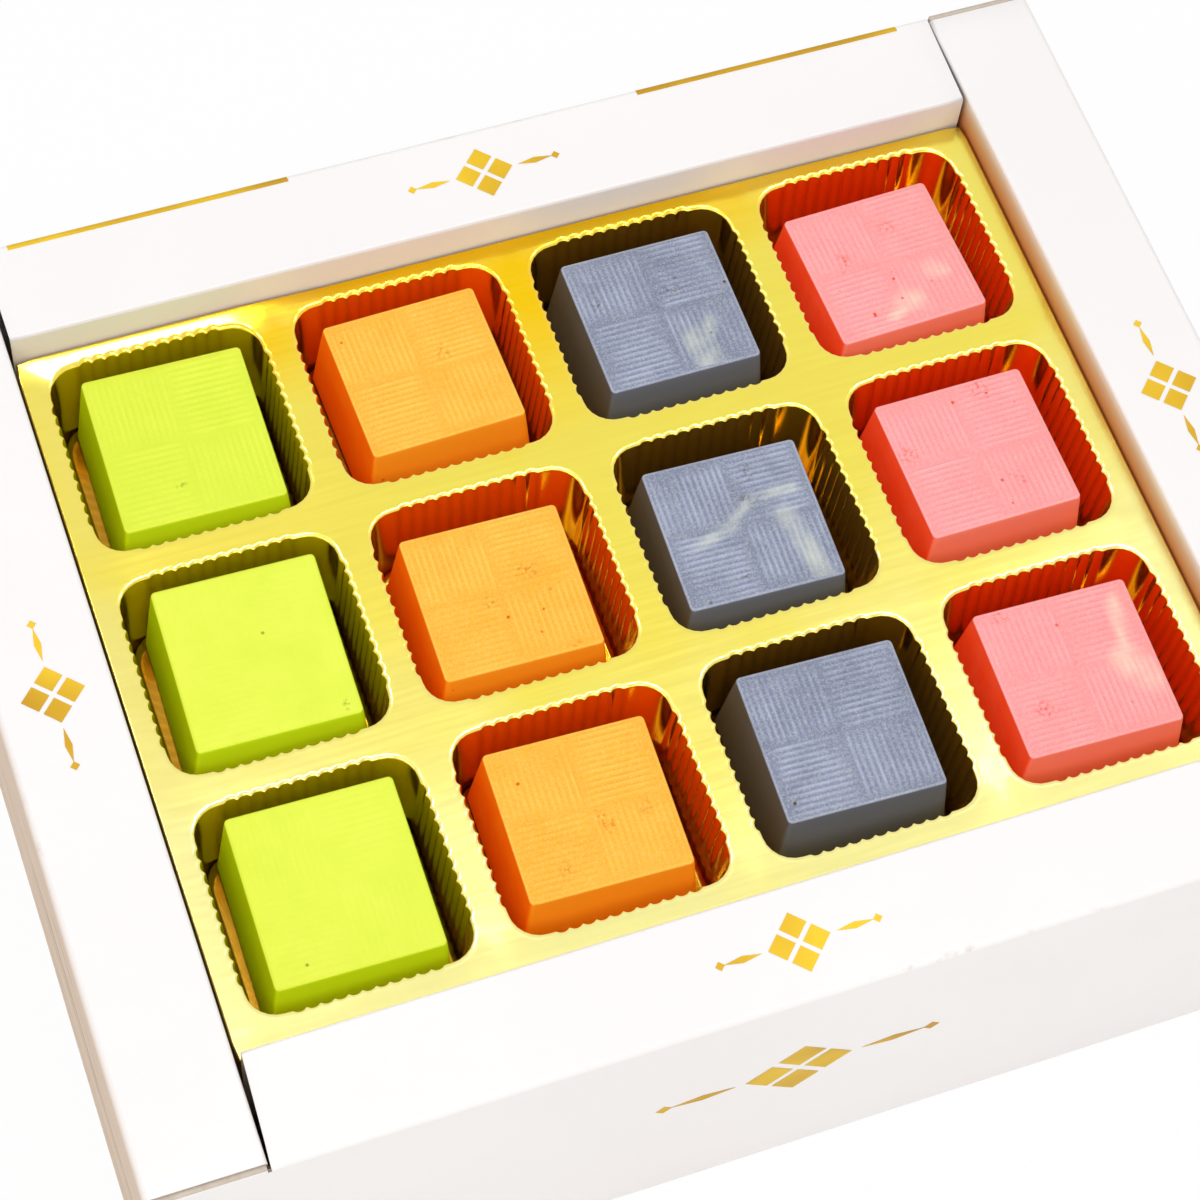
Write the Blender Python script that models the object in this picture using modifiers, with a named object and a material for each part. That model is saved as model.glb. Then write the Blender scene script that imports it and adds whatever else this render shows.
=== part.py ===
"""Box of chocolates: a folded paperboard box with wide hollow walls, a gold formed tray of
twelve fluted cups, and twelve square chocolates.

Metres, +Z up, +X to the right, -Y towards the front. The origin is the middle of the
underside of the box.
"""
import math

import bmesh
import bpy
from mathutils import Vector

# Driving dimensions
MM = 0.001
BOX_HEIGHT = 64 * MM
LEDGE_WIDTH = 18 * MM
BOARD = 1 * MM
BASE_BOARD = 1.2 * MM
FOLD_RADIUS = 1.4 * MM
REST_GAP = 0.3 * MM
SLIT = 0.6 * MM
END_PANEL_DROP = 0.4 * MM
TAB_LENGTH = 16 * MM

TRAY_SINK = 7 * MM
TRAY_SHEET = 0.6 * MM
TRAY_PLAY = 0.7 * MM
TRAY_MARGIN = 4.15 * MM
TRAY_CORNER_RADIUS = 2.5 * MM
SKIRT_FLARE = 0.3 * MM

COLUMNS = 4
ROWS = 3
ROW_SHIFT = 1.4 * MM
CUP_SIZE = 34.3 * MM
CUP_LAND = 5.7 * MM
CUP_DEPTH = 17.3 * MM
CUP_DRAFT = 0.9 * MM
CUP_CORNER_RADIUS = 4.6 * MM
FLUTES_PER_SIDE = 11
FLUTE_END_FLAT = 0.2 * MM
FLUTE_DEPTH = 0.45 * MM

CHOCOLATE_PLAY = 3.9 * MM
GREEN_CHOCOLATE_PLAY_X = 3.5 * MM
GREEN_CHOCOLATE_PLAY_Y = 2.5 * MM
CHOCOLATE_SINK = 1 * MM
CHOCOLATE_TAPER = 1.5 * MM
GREEN_CHOCOLATE_TAPER_Y = 0.7 * MM
CHOCOLATE_CORNER_RADIUS = 2 * MM
CHOCOLATE_EDGE_RADIUS = 0.6 * MM

# Counts that only set how fine the round forms are
FOLD_STEPS = 5
CORNER_STEPS = 4
CHOCOLATE_CORNER_STEPS = 3
CHOCOLATE_EDGE_STEPS = 2
SHARP_ANGLE = math.radians(50)

# Sizes worked out from the driving ones
CUP_PITCH = CUP_SIZE + CUP_LAND
CUP_FLOOR = CUP_SIZE - 2 * CUP_DRAFT
FLUTE_PITCH = (CUP_FLOOR - 2 * (CUP_CORNER_RADIUS + FLUTE_END_FLAT)) / FLUTES_PER_SIDE
TRAY_LENGTH = COLUMNS * CUP_PITCH - CUP_LAND + 2 * TRAY_MARGIN
TRAY_WIDTH = ROWS * CUP_PITCH - CUP_LAND + 2 * TRAY_MARGIN
WELL_LENGTH = TRAY_LENGTH + 2 * TRAY_PLAY
WELL_WIDTH = TRAY_WIDTH + 2 * TRAY_PLAY
BOX_LENGTH = WELL_LENGTH + 2 * LEDGE_WIDTH
BOX_WIDTH = WELL_WIDTH + 2 * LEDGE_WIDTH
PANEL_SETBACK = BOARD + REST_GAP
TRAY_TOP = BOX_HEIGHT - TRAY_SINK
SHEET_SPACE = TRAY_SHEET + REST_GAP
CHOCOLATE_SEAT = TRAY_TOP - CUP_DEPTH + REST_GAP
CHOCOLATE_HEIGHT = CUP_DEPTH - REST_GAP - CHOCOLATE_SINK
TRAY_FOOT = TRAY_TOP - CUP_DEPTH - TRAY_SHEET
PLATFORM_TOP = TRAY_FOOT - REST_GAP

COLOURS = ("green", "orange", "blue", "pink")
ROW_NAMES = ("back", "middle", "front")

# How far each chocolate lies from the middle of its cup, as shares of its play there,
# and how far it is turned, in degrees: one entry for each column, back row first
PLACE_SHARES = (
    ((0.53, 0.53), (0.39, 0.86), (0.45, 0.55), (-0.44, -0.88)),
    ((0.45, 0.85), (-0.49, -0.53), (-0.44, -0.48), (-0.03, 0.32)),
    ((0.35, 0.87), (-0.20, 0.33), (0.68, 0.84), (-0.12, -0.08)),
)
TURNS = (
    (-1.2, 1.5, 0.0, 2.0),
    (-1.6, -1.5, -1.9, 0.3),
    (-1.2, -2.0, -2.0, -1.8),
)


def clear_scene():
    for old in list(bpy.data.objects):
        bpy.data.objects.remove(old, do_unlink=True)


def new_collection(name):
    collection = bpy.data.collections.new(name)
    bpy.context.scene.collection.children.link(collection)
    return collection


def new_material(name, colour, roughness, metallic=0.0):
    material = bpy.data.materials.new(name)
    material.use_nodes = True
    shader = material.node_tree.nodes["Principled BSDF"]
    shader.inputs["Base Color"].default_value = (*colour, 1.0)
    shader.inputs["Roughness"].default_value = roughness
    shader.inputs["Metallic"].default_value = metallic
    material.diffuse_color = (*colour, 1.0)
    return material


def new_object(name, data, collection, material=None, location=(0, 0, 0)):
    obj = bpy.data.objects.new(name, data)
    collection.objects.link(obj)
    obj.location = location
    if material:
        data.materials.append(material)
    return obj


def rounded_rectangle(length, width, radius):
    """Points round a rectangle with round corners, anticlockwise from its right side."""
    points = []
    for corner in range(4):
        start = corner * math.pi / 2
        side_x = 1 if corner in (0, 3) else -1
        side_y = 1 if corner in (0, 1) else -1
        middle = Vector((side_x * (length / 2 - radius), side_y * (width / 2 - radius)))
        for step in range(CORNER_STEPS + 1):
            angle = start + step / CORNER_STEPS * math.pi / 2
            points.append(middle + radius * Vector((math.cos(angle), math.sin(angle))))
    return points


def fluted_square(size, radius, flute_depth):
    """A square with round corners whose sides bulge outwards in a row of flutes."""
    plain = rounded_rectangle(size, size, radius)
    points = []
    for corner in range(4):
        first = corner * (CORNER_STEPS + 1)
        points.extend(plain[first:first + CORNER_STEPS + 1])
        turn = (corner + 1) * math.pi / 2
        outward = Vector((math.cos(turn), math.sin(turn)))
        along = Vector((-outward.y, outward.x))
        for half in range(2 * FLUTES_PER_SIDE + 1):
            place = (half - FLUTES_PER_SIDE) * FLUTE_PITCH / 2
            bulge = flute_depth if half % 2 else 0
            points.append((size / 2 + bulge) * outward + place * along)
    return points


def lofted_solid(name, rings):
    """A closed solid through rings of as many points each, from the lowest ring up."""
    mesh = bpy.data.meshes.new(name)
    bm = bmesh.new()
    loops = [[bm.verts.new((*point, height)) for point in points] for points, height in rings]
    count = len(loops[0])
    for lower, upper in zip(loops, loops[1:]):
        for index in range(count):
            after = (index + 1) % count
            bm.faces.new((lower[index], lower[after], upper[after], upper[index]))
    bm.faces.new(reversed(loops[0]))
    bm.faces.new(loops[-1])
    bm.to_mesh(mesh)
    bm.free()
    return mesh


def sheet_mesh(name, rows):
    """An open sheet through rows of points; neighbouring rows are joined face by face."""
    mesh = bpy.data.meshes.new(name)
    bm = bmesh.new()
    grid = [[bm.verts.new(point) for point in row] for row in rows]
    for lower, upper in zip(grid, grid[1:]):
        for index in range(len(lower) - 1):
            bm.faces.new((lower[index], lower[index + 1], upper[index + 1], upper[index]))
    bm.to_mesh(mesh)
    bm.free()
    return mesh


def thicken(obj, thickness):
    """Gives an open sheet its thickness on the side away from its normals."""
    solidify = obj.modifiers.new("thickness", "SOLIDIFY")
    solidify.thickness = thickness
    solidify.offset = -1
    solidify.use_even_offset = True


def box_object(name, low, high, collection, material):
    """A plain box between two corners."""
    low, high = Vector(low), Vector(high)
    bpy.ops.mesh.primitive_cube_add(size=1, location=(low + high) / 2)
    obj = bpy.context.object
    obj.name = name
    obj.data.name = name
    for vertex in obj.data.vertices:
        vertex.co = vertex.co * (high - low)
    for linked in list(obj.users_collection):
        linked.objects.unlink(obj)
    collection.objects.link(obj)
    obj.data.materials.append(material)
    return obj


def wall_profile(outer_foot, inner_foot):
    """The outer line of a folded wall in its own plane: outer panel, fold, ledge, fold, inner
    panel. The first value runs outwards from the inner panel, the second is the height."""
    points = [(LEDGE_WIDTH, outer_foot)]
    for middle, start in ((LEDGE_WIDTH - FOLD_RADIUS, 0.0), (FOLD_RADIUS, math.pi / 2)):
        for step in range(FOLD_STEPS + 1):
            angle = start + step / FOLD_STEPS * math.pi / 2
            outwards = middle + FOLD_RADIUS * math.cos(angle)
            height = BOX_HEIGHT - FOLD_RADIUS + FOLD_RADIUS * math.sin(angle)
            points.append((outwards, height))
    points.append((0.0, inner_foot))
    return points


def side_wall(name, side, collection, material):
    """A left (-1) or right (1) wall, folded from one board, between the front and back panels."""
    reach = BOX_WIDTH / 2 - PANEL_SETBACK
    rows = []
    for outwards, height in wall_profile(0.0, BASE_BOARD + REST_GAP):
        x = side * (WELL_LENGTH / 2 + outwards)
        rows.append([(x, -side * reach, height), (x, side * reach, height)])
    wall = new_object(name, sheet_mesh(name, rows), collection, material)
    thicken(wall, BOARD)
    return wall


def end_wall(name, side, collection, material):
    """The front (-1) or back (1) wall: its outer panel covers the ends of the side walls, and its
    fold, ledge and inner panel fit between them."""
    between = WELL_LENGTH / 2 - REST_GAP
    full = BOX_LENGTH / 2
    profile = wall_profile(0.0, BASE_BOARD + REST_GAP)
    turned = [-side * x for x in (-full, -between - SLIT, -between, between, between + SLIT, full)]
    mesh = bpy.data.meshes.new(name)
    bm = bmesh.new()

    def row(columns, outwards, height):
        y = side * (WELL_WIDTH / 2 + outwards)
        return [bm.verts.new((x, y, height)) for x in columns]

    def join(lower, upper):
        for index in range(len(lower) - 1):
            bm.faces.new((lower[index], lower[index + 1], upper[index + 1], upper[index]))

    foot = row(turned, *profile[0])
    shoulder = row(turned, *profile[1])
    join(foot, shoulder)
    previous = shoulder[2:4]
    for outwards, height in profile[2:]:
        current = row(turned[2:4], outwards, height)
        join(previous, current)
        previous = current
    for end in (slice(0, 2), slice(4, 6)):
        join(shoulder[end], row(turned[end], LEDGE_WIDTH, BOX_HEIGHT - END_PANEL_DROP))
    bm.to_mesh(mesh)
    bm.free()
    wall = new_object(name, mesh, collection, material)
    thicken(wall, BOARD)
    return wall


def corner_tab(name, side_x, side_y, collection, material):
    """The glue tab of an end wall, folded back inside the hollow of a side wall."""
    outer_x = BOX_LENGTH / 2 - PANEL_SETBACK
    outer_y = BOX_WIDTH / 2 - PANEL_SETBACK
    xs = sorted((side_x * outer_x, side_x * (outer_x - BOARD)))
    ys = sorted((side_y * outer_y, side_y * (outer_y - TAB_LENGTH)))
    zs = (BASE_BOARD + REST_GAP, BOX_HEIGHT - BOARD - 2 * REST_GAP)
    return box_object(name, (xs[0], ys[0], zs[0]), (xs[1], ys[1], zs[1]), collection, material)


def base_panel(collection, material):
    """The bottom board, inside the feet of the four outer panels."""
    half_x = BOX_LENGTH / 2 - PANEL_SETBACK
    half_y = BOX_WIDTH / 2 - PANEL_SETBACK
    return box_object("base_panel", (-half_x, -half_y, 0), (half_x, half_y, BASE_BOARD), collection, material)


def tray_platform(collection, material):
    """The folded riser that holds the tray up near the ledges: a top and four legs."""
    low = Vector((REST_GAP - WELL_LENGTH / 2, REST_GAP - WELL_WIDTH / 2, BASE_BOARD + REST_GAP))
    high = Vector((-low.x, -low.y, PLATFORM_TOP))
    platform = box_object("tray_platform", low, high, collection, material)
    bm = bmesh.new()
    bm.from_mesh(platform.data)
    bm.faces.ensure_lookup_table()
    underside = min(bm.faces, key=lambda face: face.calc_center_median().z)
    bmesh.ops.delete(bm, geom=[underside], context="FACES")
    bm.to_mesh(platform.data)
    bm.free()
    thicken(platform, BOARD)
    return platform


def cup_place(row, column):
    """The middle of a cup, seen from above."""
    x = (column - (COLUMNS - 1) / 2) * CUP_PITCH
    y = ((ROWS - 1) / 2 - row) * CUP_PITCH + ROW_SHIFT
    return Vector((x, y, 0))


def tray_land(collection, material):
    """The flat top of the tray, with a round-cornered hole for each cup."""
    curve = bpy.data.curves.new("tray_land", "CURVE")
    curve.dimensions = "2D"
    curve.fill_mode = "BOTH"
    curve.extrude = TRAY_SHEET / 2

    def add_outline(points, middle):
        spline = curve.splines.new("POLY")
        spline.points.add(len(points) - 1)
        for target, point in zip(spline.points, points):
            target.co = (middle.x + point.x, middle.y + point.y, 0, 1)
        spline.use_cyclic_u = True

    add_outline(rounded_rectangle(TRAY_LENGTH, TRAY_WIDTH, TRAY_CORNER_RADIUS), Vector((0, 0)))
    hole = CUP_SIZE + 2 * (FLUTE_DEPTH + SHEET_SPACE)
    radius = CUP_CORNER_RADIUS + FLUTE_DEPTH + SHEET_SPACE
    for row in range(ROWS):
        for column in range(COLUMNS):
            add_outline(rounded_rectangle(hole, hole, radius), cup_place(row, column))
    return new_object("tray_land", curve, collection, material, (0, 0, TRAY_TOP - TRAY_SHEET / 2))


def tray_skirt(collection, material):
    """The turned-down edge that the tray stands on."""
    rows = []
    for height, flare in ((TRAY_FOOT, SKIRT_FLARE), (TRAY_TOP - SHEET_SPACE, 0.0)):
        length = TRAY_LENGTH + 2 * flare
        width = TRAY_WIDTH + 2 * flare
        outline = rounded_rectangle(length, width, TRAY_CORNER_RADIUS + flare)
        rows.append([(point.x, point.y, height) for point in outline + outline[:1]])
    mesh = sheet_mesh("tray_skirt", rows)
    bm = bmesh.new()
    bm.from_mesh(mesh)
    bmesh.ops.remove_doubles(bm, verts=bm.verts, dist=REST_GAP / 10)
    bm.to_mesh(mesh)
    bm.free()
    skirt = new_object("tray_skirt", mesh, collection, material)
    thicken(skirt, TRAY_SHEET)
    return skirt


def cup_mesh(cutters):
    """One cup: a plain drafted shell with a fluted hollow, its rim level with the tray's top."""
    def outside(draft):
        size = CUP_SIZE + 2 * (FLUTE_DEPTH + TRAY_SHEET) - 2 * draft
        return rounded_rectangle(size, size, CUP_CORNER_RADIUS + FLUTE_DEPTH + TRAY_SHEET)

    overrun_share = 0.1
    overrun = CUP_DEPTH * overrun_share
    shell = lofted_solid("cup_shell", ((outside(CUP_DRAFT), -CUP_DEPTH - TRAY_SHEET), (outside(0), 0)))
    hollow_rings = (
        (fluted_square(CUP_FLOOR, CUP_CORNER_RADIUS, FLUTE_DEPTH), -CUP_DEPTH),
        (fluted_square(CUP_SIZE, CUP_CORNER_RADIUS, FLUTE_DEPTH), 0.0),
        (fluted_square(CUP_SIZE, CUP_CORNER_RADIUS, FLUTE_DEPTH), overrun),
    )
    body = new_object("cup_shell", shell, cutters)
    hollow = new_object("cup_hollow", lofted_solid("cup_hollow", hollow_rings), cutters)
    cut = body.modifiers.new("hollow", "BOOLEAN")
    cut.operation = "DIFFERENCE"
    cut.solver = "EXACT"
    cut.object = hollow
    evaluated = body.evaluated_get(bpy.context.evaluated_depsgraph_get())
    mesh = bpy.data.meshes.new_from_object(evaluated)
    mesh.name = "tray_cup"
    for obj in (body, hollow):
        obj.hide_render = True
        obj.display_type = "WIRE"
    return mesh


def chocolate(name, row, column, collection, material):
    """One chocolate: a block that narrows upwards, with all its edges rounded."""
    green = column == 0
    play_x = GREEN_CHOCOLATE_PLAY_X if green else CHOCOLATE_PLAY
    play_y = GREEN_CHOCOLATE_PLAY_Y if green else CHOCOLATE_PLAY
    taper_y = GREEN_CHOCOLATE_TAPER_Y if green else CHOCOLATE_TAPER
    foot = Vector((CUP_FLOOR - play_x, CUP_FLOOR - play_y, CHOCOLATE_HEIGHT))
    turn = math.radians(TURNS[row][column])
    space = CUP_FLOOR - 2 * REST_GAP
    round_part = 2 * CHOCOLATE_CORNER_RADIUS
    reach_x = foot.x * math.cos(turn) + (foot.y - round_part) * abs(math.sin(turn))
    reach_y = foot.y * math.cos(turn) + (foot.x - round_part) * abs(math.sin(turn))
    share_x, share_y = PLACE_SHARES[row][column]
    place = cup_place(row, column)
    place.x += share_x * (space - reach_x) / 2
    place.y += share_y * (space - reach_y) / 2
    place.z = CHOCOLATE_SEAT
    block = box_object(name, (0, 0, 0), foot, collection, material)
    for vertex in block.data.vertices:
        if vertex.co.z > 0:
            vertex.co.x *= 1 - 2 * CHOCOLATE_TAPER / foot.x
            vertex.co.y *= 1 - 2 * taper_y / foot.y
        vertex.co.z += CHOCOLATE_HEIGHT / 2
    block.location = place
    block.rotation_euler.z = turn
    weights = block.data.attributes.new("bevel_weight_edge", "FLOAT", "EDGE")
    for edge in block.data.edges:
        low, high = (block.data.vertices[index].co for index in edge.vertices)
        weights.data[edge.index].value = abs(high.z - low.z) > CHOCOLATE_HEIGHT / 2
    corners = block.modifiers.new("round corners", "BEVEL")
    corners.limit_method = "WEIGHT"
    corners.width = CHOCOLATE_CORNER_RADIUS
    corners.segments = CHOCOLATE_CORNER_STEPS
    edges = block.modifiers.new("round edges", "BEVEL")
    edges.limit_method = "ANGLE"
    edges.angle_limit = SHARP_ANGLE
    edges.width = CHOCOLATE_EDGE_RADIUS
    edges.segments = CHOCOLATE_EDGE_STEPS
    block.data.shade_smooth()
    return block


def main():
    clear_scene()
    parts = new_collection("box_of_chocolates")
    cutters = new_collection("cutters")
    board = new_material("white_board", (0.87, 0.86, 0.84), 0.5)
    foil = new_material("gold_foil", (0.86, 0.66, 0.22), 0.25, 1.0)
    fillings = {
        "green": new_material("green_chocolate", (0.63, 0.83, 0.09), 0.5),
        "orange": new_material("orange_chocolate", (0.95, 0.36, 0.06), 0.5),
        "blue": new_material("blue_chocolate", (0.22, 0.26, 0.36), 0.5),
        "pink": new_material("pink_chocolate", (0.93, 0.28, 0.30), 0.5),
    }
    base_panel(parts, board)
    for name, side in (("left", -1), ("right", 1)):
        side_wall(name + "_wall", side, parts, board)
    for name, side in (("front", -1), ("back", 1)):
        end_wall(name + "_wall", side, parts, board)
        corner_tab(name + "_left_tab", -1, side, parts, board)
        corner_tab(name + "_right_tab", 1, side, parts, board)
    tray_platform(parts, board)
    tray_land(parts, foil)
    tray_skirt(parts, foil)
    cup = cup_mesh(cutters)
    cup.materials.append(foil)
    for row in range(ROWS):
        for column in range(COLUMNS):
            place = cup_place(row, column)
            place.z = TRAY_TOP
            cup_name = "tray_cup_%s_%d" % (ROW_NAMES[row], column + 1)
            new_object(cup_name, cup, parts, location=place)
            colour = COLOURS[column]
            chocolate("%s_chocolate_%s" % (colour, ROW_NAMES[row]), row, column, parts, fillings[colour])


main()
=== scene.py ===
"""The looks of the box of chocolates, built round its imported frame.

Metres, +Z up, +X to the right, -Y towards the front, as in the frame. Every piece's mesh is made
where it stands, so an object's own coordinates are also its place in the box.
"""
import math

import bmesh
import bpy
from mathutils import Matrix, Vector, noise

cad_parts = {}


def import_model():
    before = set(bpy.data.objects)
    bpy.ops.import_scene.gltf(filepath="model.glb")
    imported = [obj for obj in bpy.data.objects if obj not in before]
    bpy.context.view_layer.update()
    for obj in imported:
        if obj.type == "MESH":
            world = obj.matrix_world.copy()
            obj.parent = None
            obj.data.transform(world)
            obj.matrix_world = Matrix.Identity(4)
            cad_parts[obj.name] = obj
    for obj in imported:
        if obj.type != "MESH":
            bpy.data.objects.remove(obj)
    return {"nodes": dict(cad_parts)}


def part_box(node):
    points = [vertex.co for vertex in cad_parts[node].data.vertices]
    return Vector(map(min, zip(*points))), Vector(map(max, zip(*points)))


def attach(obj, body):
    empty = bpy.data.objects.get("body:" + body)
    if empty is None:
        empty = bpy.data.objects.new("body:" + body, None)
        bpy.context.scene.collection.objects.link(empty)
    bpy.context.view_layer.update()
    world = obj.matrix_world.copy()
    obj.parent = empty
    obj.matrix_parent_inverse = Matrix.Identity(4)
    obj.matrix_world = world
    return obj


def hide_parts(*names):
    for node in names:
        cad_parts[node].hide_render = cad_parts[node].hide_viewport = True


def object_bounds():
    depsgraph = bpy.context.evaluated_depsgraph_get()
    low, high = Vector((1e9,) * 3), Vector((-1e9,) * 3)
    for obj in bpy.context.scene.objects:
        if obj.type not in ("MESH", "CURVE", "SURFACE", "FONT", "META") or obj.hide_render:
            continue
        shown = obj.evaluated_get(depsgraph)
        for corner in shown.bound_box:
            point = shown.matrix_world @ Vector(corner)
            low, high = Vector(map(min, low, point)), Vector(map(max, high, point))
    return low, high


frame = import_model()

MM = 0.001
cad_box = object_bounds()

# Sizes that the frame gives
BOX_LOW, BOX_HIGH = cad_box
BOX_HEIGHT = BOX_HIGH.z
TRAY_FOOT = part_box("tray_skirt")[0].z
TRAY_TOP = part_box("tray_land")[1].z
TRAY_HALF_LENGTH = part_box("tray_land")[1].x
TRAY_HALF_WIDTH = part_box("tray_land")[1].y
WELL_HALF_LENGTH = -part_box("left_wall")[1].x
WELL_HALF_WIDTH = -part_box("front_wall")[1].y

# Box walls, and the boards whose CAD shapes are shown as they are
WALL_DIRECTIONS = {"front": (0, -1, 0), "back": (0, 1, 0), "left": (-1, 0, 0), "right": (1, 0, 0)}
HIDDEN_BOARDS = (
    "base_panel", "tray_platform",
    "front_left_tab", "front_right_tab", "back_left_tab", "back_right_tab",
)
LEDGE_WIDTH = BOX_HIGH.x - WELL_HALF_LENGTH
BOARD = 1 * MM
BASE_BOARD = 1.2 * MM
FOLD_RADIUS = 1.05 * MM
INNER_FOLD_RADIUS = 0.6 * MM
REST_GAP = 0.3 * MM
SLIT = 0.6 * MM
END_PANEL_DROP = 0.25 * MM
PANEL_SETBACK = BOARD + 0.1 * MM
WALL_INSET = 0.1 * MM
WALL_FOOT_GAP = 0.02 * MM
FOLD_STEPS = 10
LEDGE_STEPS = 5
WALL_STEPS = 40
FLAP_STEPS = 4

# Where the rows of points lie: shares of the way up the outer panel, heights down the inner one
PANEL_SHARES = (0.0, 0.2, 0.4, 0.6, 0.8)
INNER_HEIGHTS_MM = (62.5, 61.5, 60.5, 59.5, 58.5, 57.5, 56.5, 50.0, 30.0)

# How uneven the walls are, and how far from the inner fold a ledge is as uneven as that
WALL_WAVE = 0.08 * MM
WAVE_START = 2 * MM

# How strongly each wall's inner face is painted with reflected light from the gold beside it, and with
# shade down by the tray
INNER_PAINTED_BOUNCE = {"front": 0.4, "back": 0.04, "left": 0.55, "right": 0.95}
# How much painted shade darkens the back wall's inner face
BACK_PAINTED_SHADE = 0.35

# How warm each wall's outer face is: on the left one this warmth is painted shade, on the others a faint
# warm tone
OUTER_TONE_AND_SHADE = {"front": 0.04, "back": 0.04, "left": 0.47, "right": 0.04}
FLAP_WEAR = 0.8

# How far the ledge's ends stand back from the side ledges: at the inner fold, at the outer fold
END_GAPS = {
    ("front", "left"): (0.85 * MM, 0.0),
    ("front", "right"): (0.1 * MM, 0.0),
    ("back", "left"): (0.6 * MM, 0.5 * MM),
    ("back", "right"): (0.5 * MM, 0.0),
}

# Tray
SHEET = 0.3 * MM
CUP_HALF = 17.15 * MM
CUP_PITCH = 40 * MM
CUP_DEPTH = 17.3 * MM
CUP_DRAFT = 0.9 * MM
CUP_CORNER_RADIUS = 4.6 * MM
CUP_FOOT_RADIUS = 1.1 * MM
FLUTES = 11
FLUTE_PITCH = 2.0818 * MM
FLUTE_DEPTH = 0.45 * MM
FLUTE_STEPS = 4
CUP_CORNER_STEPS = 6
TRAY_CORNER_RADIUS = 1.2 * MM
TRAY_EDGE_RADIUS = 0.3 * MM
SKIRT_FLARE = 0.3 * MM
RING_GAP = 0.10 * MM
MERGE_DISTANCE = 0.02 * MM

# The land's outline as its edge begins to turn down
EDGE_HALF = Vector((TRAY_HALF_LENGTH - TRAY_EDGE_RADIUS, TRAY_HALF_WIDTH - TRAY_EDGE_RADIUS))
EDGE_CORNER = TRAY_CORNER_RADIUS - TRAY_EDGE_RADIUS

# A cup's rings from the land over its rim: offset outwards in mm, height in mm, share of the flutes'
# bulge, and depth as the gold's colours count it: 0 on the land, 1 on the walls and 2 on the floor
RIM_LEVELS = (
    (1.10, 0.0, 0.4, 0.0),
    (0.75, 0.0, 0.7, 0.0),
    (0.60, -0.008, 0.85, 0.0),
    (0.40, -0.040, 1.0, 0.0),
    (0.25, -0.083, 1.0, 0.1),
    (0.12, -0.158, 1.0, 0.5),
    (0.03, -0.28, 1.0, 0.9),
    (0.0, -0.42, 1.0, 1.0),
)

# Its rings down the walls: share of the depth, share of the bulge
CUP_WALL_SHARES = ((0.1, 0.85), (0.22, 0.65), (0.5, 0.5), (0.75, 0.4))

# Its rings round the foot: angle, share of the bulge
CUP_FOOT_LEVELS = ((0, 0.3), (35, 0.2), (65, 0.1), (90, 0.0))
CUP_FOOT_DRAFT_SHARE = 0.93

# The skirt's rings: angles round the edge, then shares of the way down
SKIRT_EDGE_ANGLES = (30, 60, 88)
SKIRT_SHARES = (0.1, 0.4, 0.7, 1.0)

# How the thin sheet warps: broad waves, ripples, and margins that turn up, most at the back left
LAND_WAVE = 0.10 * MM
LAND_RIPPLE = 0.03 * MM
UPTURN = 0.42 * MM
UPTURN_MARGIN = 4.0 * MM
LEFT_UPTURN_START = -30 * MM
LEFT_UPTURN_RUN = 15 * MM
CUP_WARP_DEPTH = 4 * MM
SKIRT_WARP_DEPTH = 3 * MM

# How wide the sheet's shifted margins are, and how far they go to the right or the back
SHIFTED_MARGIN = 2.4 * MM
LEFT_MARGIN_SHIFT = 0.1 * MM
FAR_MARGIN_SHIFT = 0.35 * MM

# Chocolates
COLOURS = ("green", "orange", "blue", "pink")
ROW_NAMES = ("back", "middle", "front")
BLOCK_CORNER_RADIUS = 1.1 * MM
BLOCK_CORNER_STEPS = 5
CORNER_NARROWING = 0.3 * MM
TOP_EDGE_RADIUS = 0.35 * MM
TOP_EDGE_ANGLES = (10, 30, 50, 70, 90)
SIDE_SHARES = (0.04, 0.2, 0.4, 0.6, 0.8, 0.94)
# The crest value that the sides and the top's edge carry, so they take some of the grooves' painted
# shade
SIDE_CREST = 0.55
BLOCK_WAVE = 0.1 * MM
BLOCK_WAVE_SEED = 1
RIDGES = 12
RIDGE_STEPS = 8
RIDGE_ROWS = 10
RIDGE_HEIGHT = 0.3 * MM
FIELD_MARGIN = 0.2 * MM
FIELD_SEAM = 0.12 * MM

# The rounded foot of a chocolate, in mm: height, inset, corner radius
BLOCK_FOOT_LEVELS = ((0.0, 0.5, 1.8), (0.15, 0.15, 1.95))

# How many degrees each chocolate is turned in its cup, by row and column
TURNS = (
    (-1.2, 1.5, 0.0, 2.0),
    (-1.6, -1.5, -1.9, 0.3),
    (-1.2, -2.0, -2.0, -1.8),
)

# Sizes in mm along x and y: the foot's, and how far each side leans in by the top
FOOTS = {"green": (29.0, 30.0), "orange": (28.6, 28.6), "blue": (28.6, 28.6), "pink": (28.6, 28.6)}
TAPERS = {"green": (1.5, 0.7), "orange": (1.5, 1.5), "blue": (1.5, 1.5), "pink": (1.5, 1.5)}

# How much of the ridges' height is left on the tops that are worn smoother
WORN_TOPS = {"green_back": 0.7, "green_middle": 0.12, "green_front": 0.22}

# How far the sides are shaded as if they faced upwards, because light spreads inside the chocolate
SIDE_LIGHT = 0.9

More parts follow.
